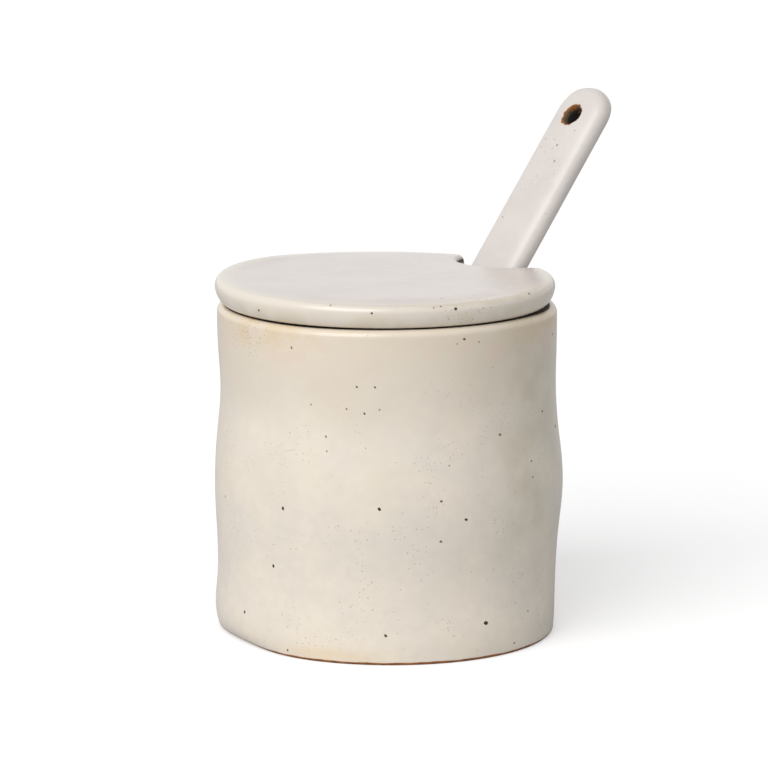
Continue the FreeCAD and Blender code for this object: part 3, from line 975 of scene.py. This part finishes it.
def makeLid():
    centre = polar(lid["shift"], lid["shiftAzimuth"])
    notch = polar(lid["notchDistance"], lid["notchAzimuth"]) - centre
    levels = []
    steps = lid["edgeSteps"]
    for index in range(steps + 1):
        turn = 0.5 * math.pi * index / steps
        inset = lid["lowerReach"] * (1.0 - math.sin(turn))
        levels.append((inset, lid["lowerRise"] * (1.0 - math.cos(turn))))
    for index in range(1, steps + 1):
        turn = 0.5 * math.pi * index / steps
        inset = lid["upperReach"] * (1.0 - math.cos(turn))
        levels.append((inset, lid["thickness"] - lid["upperDrop"] * (1.0 - math.sin(turn))))
    stack = []
    for inset, height in levels:
        stack.append([point + Vector((0, 0, height)) for point in lidOutline(notch, inset)])

    # both faces close in rings towards a point that sees the whole outline
    middle = Vector((lid["middle"], 0.0, 0.0))
    under = []
    for share in [lid["underStep"] * step for step in range(1, lid["underRings"] + 1)]:
        under.append([middle + (point - middle) * share for point in stack[0]])
    over = []
    flat = Vector((0, 0, lid["thickness"]))
    for share in [1.0 - lid["overStep"] * step for step in range(1, lid["overRings"] + 1)]:
        over.append([middle + flat + (point - middle - flat) * share for point in stack[-1]])
    loops = [[lidWarped(centre + point) for point in loop] for loop in under + stack + over]
    base = centre + middle + Vector((0, 0, lid["bottom"]))

    bm = bmesh.new()
    stackLoops(bm, loops, base, base + flat)
    lidRing(bm, notch, centre)
    bmesh.ops.scale(bm, vec=(mm, mm, mm), verts=bm.verts)
    bmesh.ops.recalc_face_normals(bm, faces=bm.faces)
    for face in bm.faces:
        face.smooth = True
    mesh = bpy.data.meshes.new("lidBody")
    bm.to_mesh(mesh)
    bm.free()
    mesh.materials.append(lidMaterial)
    return newObject("lidBody", mesh)


lidBody = makeLid()
print("lid", len(lidBody.data.polygons), "faces")


# The spoon is a row of superellipses, with a hollowed bowl and a hole for hanging

spoon = {
    "length": 156.5, "handleWidth": 16.7, "handleThickness": 7.2, "handleSquareness": 2.5,
    "tipRound": 3.8, "bowlWidth": 26.0, "bowlLength": 38.0, "bowlWidest": 17.0, "bowlDepth": 8.5,
    "bowlWall": 3.2, "bowlSquareness": 2.3, "neckLength": 16.0, "noseRound": 1.6, "noseReach": 25.2,
    "gap": 0.3, "holeRadius": 2.5, "holeEdge": 0.55, "holeFromEnd": 9.7,
    "around": 96, "handleSteps": 110, "holeAround": 64, "holeSteps": 16,
    "holeOvershoot": 3.0, "holeLip": 0.1,
    "grain": 0.32,            # cell of the remesh that melts the cuts into the glaze
}


def spoonLean():
    # the bowl's tip stands on the floor and the handle lies on the rim's inner edge
    nose = Vector((-spoon["noseReach"], 0, pot["floor"] + spoon["gap"] + spoon["noseRound"]))
    inner = pot["radius"] - pot["wall"]
    rim = Vector((inner + pot["rimInnerRound"], 0, pot["height"] - pot["rimInnerRound"]))
    clear = pot["rimInnerRound"] + 0.5 * spoon["handleThickness"]
    support = rim - nose
    return nose, math.atan2(support.x, support.z) - math.asin(clear / support.length)


spoonNose, spoonTilt = spoonLean()


def easeIn(inside, length):
    share = min(1.0, max(0.0, inside / length))
    return math.sqrt(1.0 - (1.0 - share) ** 2)


def spoonSection(along, count):
    fromEnd = spoon["length"] - along
    neckSpan = spoon["bowlLength"] + spoon["neckLength"] - spoon["bowlWidest"]
    neck = smoothStep((along - spoon["bowlWidest"]) / neckSpan)
    bulge = math.sin(0.5 * math.pi * min(1.0, along / spoon["bowlWidest"]))
    halfWidth = 0.5 * (spoon["bowlWidth"] + (spoon["handleWidth"] - spoon["bowlWidth"]) * neck)
    halfWidth *= easeIn(along, spoon["bowlWidest"]) * easeIn(fromEnd, 0.5 * spoon["handleWidth"])
    thinning = easeIn(along, spoon["noseRound"]) * easeIn(fromEnd, spoon["tipRound"])
    halfThick = 0.5 * spoon["handleThickness"]
    above = spoon["noseRound"] + (halfThick - spoon["noseRound"]) * neck
    below = spoon["noseRound"] + (spoon["bowlDepth"] - spoon["noseRound"]) * bulge
    below += (halfThick - below) * neck
    squarer = spoon["handleSquareness"] - spoon["bowlSquareness"]
    power = 2.0 / (spoon["bowlSquareness"] + squarer * neck)
    points = []
    for index in range(count):
        angle = 2.0 * math.pi * index / count
        side = math.copysign(abs(math.cos(angle)) ** power, math.cos(angle))
        rise = math.copysign(abs(math.sin(angle)) ** power, math.sin(angle))
        half = above if rise > 0 else below
        points.append(Vector((along, halfWidth * side, half * thinning * rise)))
    return points


def solidFrom(name, build):
    bm = bmesh.new()
    build(bm)
    bmesh.ops.recalc_face_normals(bm, faces=bm.faces)
    mesh = bpy.data.meshes.new(name)
    bm.to_mesh(mesh)
    bm.free()
    return newObject(name, mesh)


def spoonBlank(bm):
    turns = [math.radians(3.0 + 87.0 * step / 22) for step in range(23)]
    roundStart = spoon["length"] - 0.5 * spoon["handleWidth"]
    places = [spoon["bowlWidest"] * (1.0 - math.cos(turn)) for turn in turns]
    middle = spoon["handleSteps"]
    span = roundStart - spoon["bowlWidest"]
    places += [spoon["bowlWidest"] + span * step / middle for step in range(1, middle + 1)]
    places += [roundStart + 0.5 * spoon["handleWidth"] * math.cos(turn) for turn in turns[-2::-1]]
    loops = [spoonSection(place, spoon["around"]) for place in places]
    stackLoops(bm, loops, Vector((0, 0, 0)), Vector((spoon["length"], 0, 0)))


def bowlCutter(bm):
    centre = Vector((spoon["bowlWidest"] + spoon["noseRound"], 0, spoon["noseRound"]))
    made = bmesh.ops.create_uvsphere(bm, u_segments=72, v_segments=48, radius=1.0)
    halfWidth = 0.5 * spoon["bowlWidth"] - spoon["bowlWall"]
    depth = spoon["bowlDepth"] - spoon["bowlWall"] + centre.z
    bmesh.ops.scale(bm, vec=(centre.x - spoon["bowlWall"], halfWidth, depth), verts=made["verts"])
    bmesh.ops.translate(bm, vec=centre, verts=made["verts"])


def holeCutter(bm):
    # a spool: it opens out into both faces, so the hole's rims come out rounded
    edge = spoon["holeEdge"]
    half = 0.5 * spoon["handleThickness"]
    loops = []
    for height in (-half - spoon["holeOvershoot"], -half + spoon["holeLip"]):
        loops.append((spoon["holeRadius"] + edge, height))
    for index in range(1, spoon["holeSteps"]):
        turn = math.pi * index / spoon["holeSteps"]
        radius = spoon["holeRadius"] + edge * (1.0 - math.sin(turn))
        loops.append((radius, -(half - spoon["holeLip"]) * math.cos(turn)))
    for height in (half - spoon["holeLip"], half + spoon["holeOvershoot"]):
        loops.append((spoon["holeRadius"] + edge, height))
    centre = Vector((spoon["length"] - spoon["holeFromEnd"], 0, 0))
    rows = []
    for radius, height in loops:
        count = spoon["holeAround"]
        rows.append([centre + polar(radius, 360.0 * step / count, height) for step in range(count)])
    ends = [centre + Vector((0, 0, loops[end][1])) for end in (0, -1)]
    stackLoops(bm, rows, *ends)


def makeSpoon():
    piece = solidFrom("spoonBody", spoonBlank)
    cutters = [solidFrom("bowlCutter", bowlCutter), solidFrom("holeCutter", holeCutter)]
    for cutter in cutters:
        cut = piece.modifiers.new(cutter.name, "BOOLEAN")
        cut.operation = "DIFFERENCE"
        cut.solver = "EXACT"
        cut.object = cutter
    melt = piece.modifiers.new("melt", "REMESH")
    melt.mode = "VOXEL"
    melt.voxel_size = spoon["grain"]
    soften = piece.modifiers.new("soften", "SMOOTH")
    soften.factor = 0.5
    soften.iterations = 8
    mesh = frozenMesh(piece)
    piece.modifiers.clear()
    piece.data = mesh
    for cutter in cutters:
        bpy.data.objects.remove(cutter)

    # leant, stood on the floor of the pot and slid up its own axis until it is clear
    lean = Matrix.Rotation(spoonTilt - 0.5 * math.pi, 4, "Y")
    mesh.transform(Matrix.Translation((-spoon["noseRound"], 0, 0)))
    mesh.transform(Matrix.Translation(spoonNose) @ lean)
    lowest = min(vertex.co.z for vertex in mesh.vertices)
    slide = pot["floor"] + spoon["gap"] - lowest
    mesh.transform(Matrix.Translation((math.tan(spoonTilt) * slide, 0, slide)))
    mesh.transform(Matrix.Scale(mm, 4))
    mesh.shade_smooth()
    mesh.materials.append(spoonMaterial)
    return piece


spoonGlaze = {
    **anyGlaze,
    "cool": "#cdc6c1", "warm": "#d2cbc6", "cloudSize": 12.0, "seed": 8.0,
    "mottleSize": 2.0, "mottle": 0.025,
    "fleckSpacing": 0.85, "fleckShare": 0.4, "fleckDepth": 0.35, "clusterSize": 8.0,
    "rippleSize": 8.0, "rippleDepth": 0.08, "peelDepth": 0.006,
    "roughness": 0.32, "bareRoughness": 0.9,
    "raggedSize": 1.2, "raggedMix": (1.5, -0.78),
    "holeRing": 3.1, "holeRingSoft": 0.08, "rustRing": (2.95, 2.7), "litDepth": (1.0, 2.6),
    "combing": (0.009, 0.0, 3.0), "combEdges": (0.38, 0.6), "combDark": 0.35,
    # holeShade is painted shade for the deep part of the hole
    "rust": "#955a26", "clay": "#7c6a54", "holeShade": "#140c08",
}


def spoonFinish():
    # the same pale glaze; round the hole it burned back to rust, and inside the hole painted shade
    # turns the clay near-black
    material = newMaterial("paleSatinGlazeBurntHole")
    tree = material.node_tree
    place, colour = satinGlaze(tree, spoonGlaze)
    axis = Vector((math.sin(spoonTilt), 0, math.cos(spoonTilt)))
    centre = (spoonNose + axis * (spoon["length"] - spoon["holeFromEnd"] - spoon["noseRound"])) * mm
    local = addNode(tree, "ShaderNodeMapping", {
        "Vector": place, "Location": centre, "Rotation": (0.0, spoonTilt - 0.5 * math.pi, 0.0),
    }, vector_type="TEXTURE")
    depth, away, around = cylinderPlace(tree, local)
    ragged = addNode(tree, "ShaderNodeTexNoise", {
        "Vector": place, "W": 51.0, "Scale": 1.0 / (spoonGlaze["raggedSize"] * mm), "Detail": 3.0,
    }, noise_dimensions="4D")
    scale, base = spoonGlaze["raggedMix"]
    ragged = addNode(tree, "ShaderNodeMath", {
        0: ragged, 1: scale, 2: base,
    }, operation="MULTIPLY_ADD")
    away = addNode(tree, "ShaderNodeMath", {0: away, 1: ragged}, operation="ADD")
    rustAndHoleShade = addNode(tree, "ShaderNodeMapRange", {
        "Value": away, "From Min": spoonGlaze["holeRing"] + spoonGlaze["holeRingSoft"],
        "From Max": spoonGlaze["holeRing"] - spoonGlaze["holeRingSoft"],
    }, interpolation_type="SMOOTHSTEP")

    # the hole's wall is raw clay, combed round by the drill, with painted shade that turns it black
    # deeper in and painted light near the top
    combed = addNode(tree, "ShaderNodeCombineXYZ", {"X": around, "Z": depth})
    combed = addNode(tree, "ShaderNodeVectorMath", {
        0: combed, 1: spoonGlaze["combing"],
    }, operation="MULTIPLY")
    combed = addNode(tree, "ShaderNodeTexNoise", {"Vector": combed, "Scale": 1.0, "Detail": 3.0})
    combed = addNode(tree, "ShaderNodeMapRange", {
        "Value": combed,
        "From Min": spoonGlaze["combEdges"][0], "From Max": spoonGlaze["combEdges"][1],
        "To Min": spoonGlaze["combDark"],
    }, interpolation_type="SMOOTHSTEP")
    shallow = addNode(tree, "ShaderNodeMapRange", {
        "Value": depth,
        "From Min": spoonGlaze["litDepth"][0], "From Max": spoonGlaze["litDepth"][1],
    }, interpolation_type="SMOOTHSTEP")
    lit = addNode(tree, "ShaderNodeMath", {0: combed, 1: shallow}, operation="MULTIPLY")
    raw = addNode(tree, "ShaderNodeMix", {
        "Factor_Float": lit,
        "A_Color": colourOf(spoonGlaze["holeShade"]), "B_Color": colourOf(spoonGlaze["clay"]),
    }, data_type="RGBA")
    ring = addNode(tree, "ShaderNodeMapRange", {
        "Value": away,
        "From Min": spoonGlaze["rustRing"][0], "From Max": spoonGlaze["rustRing"][1],
    }, interpolation_type="SMOOTHSTEP")
    inside = addNode(tree, "ShaderNodeMix", {
        "Factor_Float": ring, "A_Color": colourOf(spoonGlaze["rust"]), "B_Color": raw,
    }, data_type="RGBA")
    colour = addNode(tree, "ShaderNodeMix", {
        "Factor_Float": rustAndHoleShade, "A_Color": colour, "B_Color": inside,
    }, data_type="RGBA")
    glazeSurface(tree, place, colour, rustAndHoleShade, spoonGlaze)
    return material


spoonMaterial = spoonFinish()
spoonBody = makeSpoon()
print("spoon", len(spoonBody.data.polygons), "faces")


# Iron spots are flat blobs melted into the surface; the plain ones are listed one by one

wallSpots = [             # azimuth, height, size, paleness
    (-166, 37.5, 0.75, 0.1), (-133, 39, 0.75, 0.0), (-171, 22.5, 0.7, 0.0), (174, 9, 0.7, 0.0),
    (-131, 7.5, 0.7, 0.2), (-96.5, 9, 1.0, 0.0), (-104.5, 35.5, 0.7, 0.1), (-113, 40.5, 0.6, 0.4),
    (-113, 30.5, 0.6, 0.4), (-84, 2.5, 0.45, 0.1), (-166, 1.8, 0.5, 0.0), (-140.5, 68.5, 0.5, 0.3),
    (-134.5, 68.5, 0.5, 0.3), (-138, 62, 0.5, 0.2), (-156.5, 63.5, 0.4, 0.6), (-144, 63, 0.45, 0.6),
    (-133, 63, 0.4, 0.6), (-151, 56, 0.5, 0.5), (-163.5, 77, 0.55, 0.5), (-104.5, 79.5, 0.6, 0.2),
    (-55.5, 76, 0.6, 0.1), (-65.5, 58, 0.6, 0.2), (-52.5, 52.5, 0.8, 0.1), (-90, 55, 0.7, 0.5),
    (-75.5, 47, 0.5, 0.3), (-75.5, 43, 0.5, 0.4), (162.5, 36.5, 0.5, 0.5), (-107, 78.5, 0.35, 0.6),
    (-99, 78.5, 0.35, 0.4), (-110, 49, 0.4, 0.7), (-76.5, 9.5, 0.5, 0.7), (-150.5, 52.5, 0.4, 0.7),
]
lidSpots = [
    (-177.5, 85, 0.55, 0.2), (-135.5, 86.5, 0.5, 0.2), (-107.5, 87, 0.7, 0.1),
    (-73.5, 88, 0.55, 0.2),
    (-149.5, 88, 0.4, 0.3), (-112.5, 87.7, 0.4, 0.3), (-115, 87.5, 0.35, 0.5), (35, 85.5, 0.5, 0.2),
    (95, 86, 0.6, 0.1), (140, 84.5, 0.45, 0.3),
]
spoonSpots = [            # from the bowl's tip, to the side, size, paleness
    (139, 4.6, 0.35, 0.5), (115, 4.4, 0.4, 0.6), (133, -3.0, 0.45, 0.7), (137.5, -1.0, 0.5, 0.6),
    (96, 1.5, 0.5, 0.3), (70, -2.5, 0.4, 0.4),
]
scatter = {
    "Seed": 7, "Density": 26000.0, "Smallest": 0.10, "Largest": 0.32, "Thickness": 0.03,
    "Patch size": 11.0, "Swarm": 700000.0, "Swarm spread": 3.8,
}
spotLook = {
    "swell": 1.25,            # a melted spot spreads past the grain it came from
    "aimRadius": 60.0, "aimRise": 30.0,
    "crowdEdges": (0.52, 0.66), "offFoot": 1.5, "paleness": (0.45, 1.0),
    "lumpScale": 2.2, "lumpDepth": 0.7, "narrow": 0.78,
}


def spotTree():
    names = ("Density", "Smallest", "Largest", "Thickness", "Patch size", "Swarm", "Swarm spread")
    tree, given = newTree("ironSpots", [
        ("Surface", "Object"), ("Seed", "Int"), *((name, "Float") for name in names),
        ("Swarm place", "Vector"),
    ])

    # faint ones strewn over the whole surface in patches, and one close swarm
    surface = addNode(tree, "GeometryNodeObjectInfo", {"Object": given["Surface"]})
    here = addNode(tree, "GeometryNodeInputPosition")
    scale = addNode(tree, "ShaderNodeMath", {
        0: 1.0 / mm, 1: given["Patch size"],
    }, operation="DIVIDE")
    crowd = addNode(tree, "ShaderNodeTexNoise", {"Vector": here, "Scale": scale, "Detail": 1.0})
    crowd = addNode(tree, "ShaderNodeMapRange", {
        "Value": crowd,
        "From Min": spotLook["crowdEdges"][0], "From Max": spotLook["crowdEdges"][1],
    }, interpolation_type="SMOOTHSTEP")
    lift = addNode(tree, "ShaderNodeSeparateXYZ", {0: here}).outputs["Z"]
    offFoot = addNode(tree, "ShaderNodeMath", {
        0: lift, 1: spotLook["offFoot"] * mm,
    }, operation="GREATER_THAN")
    density = crowd
    for share in (offFoot, given["Density"]):
        density = addNode(tree, "ShaderNodeMath", {0: density, 1: share}, operation="MULTIPLY")
    away = addNode(tree, "ShaderNodeVectorMath", {
        0: here, 1: given["Swarm place"],
    }, operation="DISTANCE")
    away = addNode(tree, "ShaderNodeMath", {
        0: away.outputs["Value"], 1: 1.0 / mm,
    }, operation="MULTIPLY")
    swarm = bell(tree, away, 0.0, given["Swarm spread"])
    density = addNode(tree, "ShaderNodeMath", {
        0: swarm, 1: given["Swarm"], 2: density,
    }, operation="MULTIPLY_ADD")
    strewn = addNode(tree, "GeometryNodeDistributePointsOnFaces", {
        "Mesh": surface.outputs["Geometry"], "Density": density, "Seed": given["Seed"],
    })
    sizes = addNode(tree, "FunctionNodeRandomValue", {
        "Min_001": given["Smallest"], "Max_001": given["Largest"], "Seed": given["Seed"],
    })
    tones = addNode(tree, "FunctionNodeRandomValue", {
        "Min_001": spotLook["paleness"][0], "Max_001": spotLook["paleness"][1], "Seed": 3,
    })
    marked = strewn.outputs["Points"]
    for name, kind, value in (
        ("facing", "FLOAT_VECTOR", strewn.outputs["Normal"]),
        ("spotSize", "FLOAT", sizes),
        ("paleness", "FLOAT", tones),
    ):
        marked = addNode(tree, "GeometryNodeStoreNamedAttribute", {
            "Geometry": marked, "Name": name, "Value": value,
        }, data_type=kind, domain="POINT")
    placed = addNode(tree, "GeometryNodeMeshToPoints", {"Mesh": given["Geometry"]})
    joined = addNode(tree, "GeometryNodeJoinGeometry")
    for source in (marked, placed):
        tree.links.new(source.outputs[0], joined.inputs[0])

    # a lumpy blob, laid flat on the surface and turned at random
    blob = addNode(tree, "GeometryNodeMeshIcoSphere", {"Radius": 0.5, "Subdivisions": 2})
    lumps = addNode(tree, "ShaderNodeTexNoise", {
        "Scale": spotLook["lumpScale"], "Detail": 1.0,
    })
    lumps = addNode(tree, "ShaderNodeMath", {0: lumps, 1: 0.5}, operation="SUBTRACT")
    lumps = addNode(tree, "ShaderNodeMath", {
        0: lumps, 1: spotLook["lumpDepth"],
    }, operation="MULTIPLY")
    bulge = addNode(tree, "ShaderNodeVectorMath", {
        0: addNode(tree, "GeometryNodeInputNormal"), "Scale": lumps,
    }, operation="SCALE")
    blob = addNode(tree, "GeometryNodeSetPosition", {
        "Geometry": blob.outputs["Mesh"], "Offset": bulge,
    })
    facing = addNode(tree, "GeometryNodeInputNamedAttribute", {
        "Name": "facing",
    }, data_type="FLOAT_VECTOR")
    turned = addNode(tree, "FunctionNodeAlignRotationToVector", {"Vector": facing}, axis="Z")
    spin = addNode(tree, "FunctionNodeRandomValue", {"Min_001": 0.0, "Max_001": 6.28, "Seed": 5})
    spin = addNode(tree, "FunctionNodeAxisAngleToRotation", {"Axis": (0, 0, 1), "Angle": spin})
    turned = addNode(tree, "FunctionNodeRotateRotation", {
        "Rotation": turned, "Rotate By": spin,
    }, rotation_space="LOCAL")
    size = addNode(tree, "GeometryNodeInputNamedAttribute", {"Name": "spotSize"}, data_type="FLOAT")
    width = addNode(tree, "ShaderNodeMath", {0: size, 1: mm}, operation="MULTIPLY")
    narrow = addNode(tree, "ShaderNodeMath", {
        0: width, 1: spotLook["narrow"],
    }, operation="MULTIPLY")
    thick = addNode(tree, "ShaderNodeMath", {
        0: given["Thickness"], 1: 2.0 * mm,
    }, operation="MULTIPLY")
    scale = addNode(tree, "ShaderNodeCombineXYZ", {"X": width, "Y": narrow, "Z": thick})
    laid = addNode(tree, "GeometryNodeInstanceOnPoints", {
        "Points": joined, "Instance": blob, "Rotation": turned, "Scale": scale,
    })
    real = addNode(tree, "GeometryNodeRealizeInstances", {"Geometry": laid})
    dressed = addNode(tree, "GeometryNodeSetMaterial", {"Geometry": real, "Material": ironMaterial})
    addNode(tree, "NodeGroupOutput", {"Geometry": dressed})
    return tree


def makeSpots(name, surface, aims, tree, values):
    # each aim is a ray: the spot lies where it meets the surface
    finder = BVHTree.FromPolygons(
        [vertex.co for vertex in surface.data.vertices],
        [polygon.vertices for polygon in surface.data.polygons],
    )
    points = []
    for start, direction, size, paleness in aims:
        hit, normal, _, _ = finder.ray_cast(start * mm, direction)
        if hit:
            points.append((hit, normal, spotLook["swell"] * size, paleness))
    mesh = bpy.data.meshes.new(name)
    mesh.from_pydata([entry[0] for entry in points], [], [])
    for column, (title, kind, field) in enumerate((
        ("facing", "FLOAT_VECTOR", "vector"),
        ("spotSize", "FLOAT", "value"),
        ("paleness", "FLOAT", "value"),
    ), 1):
        attribute = mesh.attributes.new(title, kind, "POINT")
        for index, entry in enumerate(points):
            setattr(attribute.data[index], field, entry[column])
    piece = newObject(name, mesh)
    bakeModifier(piece, tree, dict(values, Surface=surface))
    piece.data.shade_smooth()
    return piece


def aimsFromOutside(spots):
    aims = []
    for azimuth, height, size, paleness in spots:
        out = polar(spotLook["aimRadius"], azimuth, height)
        aims.append((out, Vector((-out.x, -out.y, 0.0)).normalized(), size, paleness))
    return aims


def backSpots(seed, low, high, count):
    # the side away from the notch's front quarter has as many, strewn by chance
    chance = random.Random(seed)
    spots = []
    for _ in range(count):
        azimuth = chance.uniform(-45.0, 150.0)
        height = chance.uniform(low, high)
        size = chance.uniform(0.35, 0.8)
        spots.append((azimuth, height, size, chance.uniform(0.0, 0.6)))
    return spots


def handlePlace(along, side, rise):
    # from the bowl's tip, to the side and up from the handle's middle
    axis = Vector((math.sin(spoonTilt), 0, math.cos(spoonTilt)))
    face = Vector((-math.cos(spoonTilt), 0, math.sin(spoonTilt)))
    return spoonNose + axis * (along - spoon["noseRound"]) + Vector((0, side, 0)) + face * rise


def aimsOnSpoon():
    aims = []
    for along, side, size, paleness in spoonSpots:
        start = handlePlace(along, side, spotLook["aimRise"])
        aims.append((start, handlePlace(along, side, 0.0) - start, size, paleness))
    return aims


spots = spotTree()
wallAims = aimsFromOutside(wallSpots + backSpots(4, 3.0, 79.0, 26))
potSwarm = dict(scatter, **{"Swarm place": tuple(polar(42.0, 176.0, 80.0) * mm)})
lidSwarm = dict(scatter, **{
    "Seed": 12, "Density": 9000.0, "Swarm place": tuple(polar(42.0, -104.0, 87.3) * mm),
})
spoonSwarm = dict(scatter, **{
    "Seed": 19, "Density": 9000.0, "Swarm": 200000.0,
    "Swarm place": tuple(handlePlace(132.0, -2.0, 3.3) * mm),
})
potIron = makeSpots("potSpots", potBody, wallAims, spots, potSwarm)
lidIron = makeSpots("lidSpots", lidBody, aimsFromOutside(lidSpots), spots, lidSwarm)
spoonIron = makeSpots("spoonSpots", spoonBody, aimsOnSpoon(), spots, spoonSwarm)
print("iron spots", len(potIron.data.polygons), "faces on the pot")


for piece, node in ((potBody, "pot"), (lidBody, "lid"), (spoonBody, "spoon")):
    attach(piece, "root")
    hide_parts(node)
for piece, slot in ((potIron, "pot_glaze"), (lidIron, "lid_glaze"), (spoonIron, "spoon_glaze")):
    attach(piece, "root")

print("pieces ride on the frame")
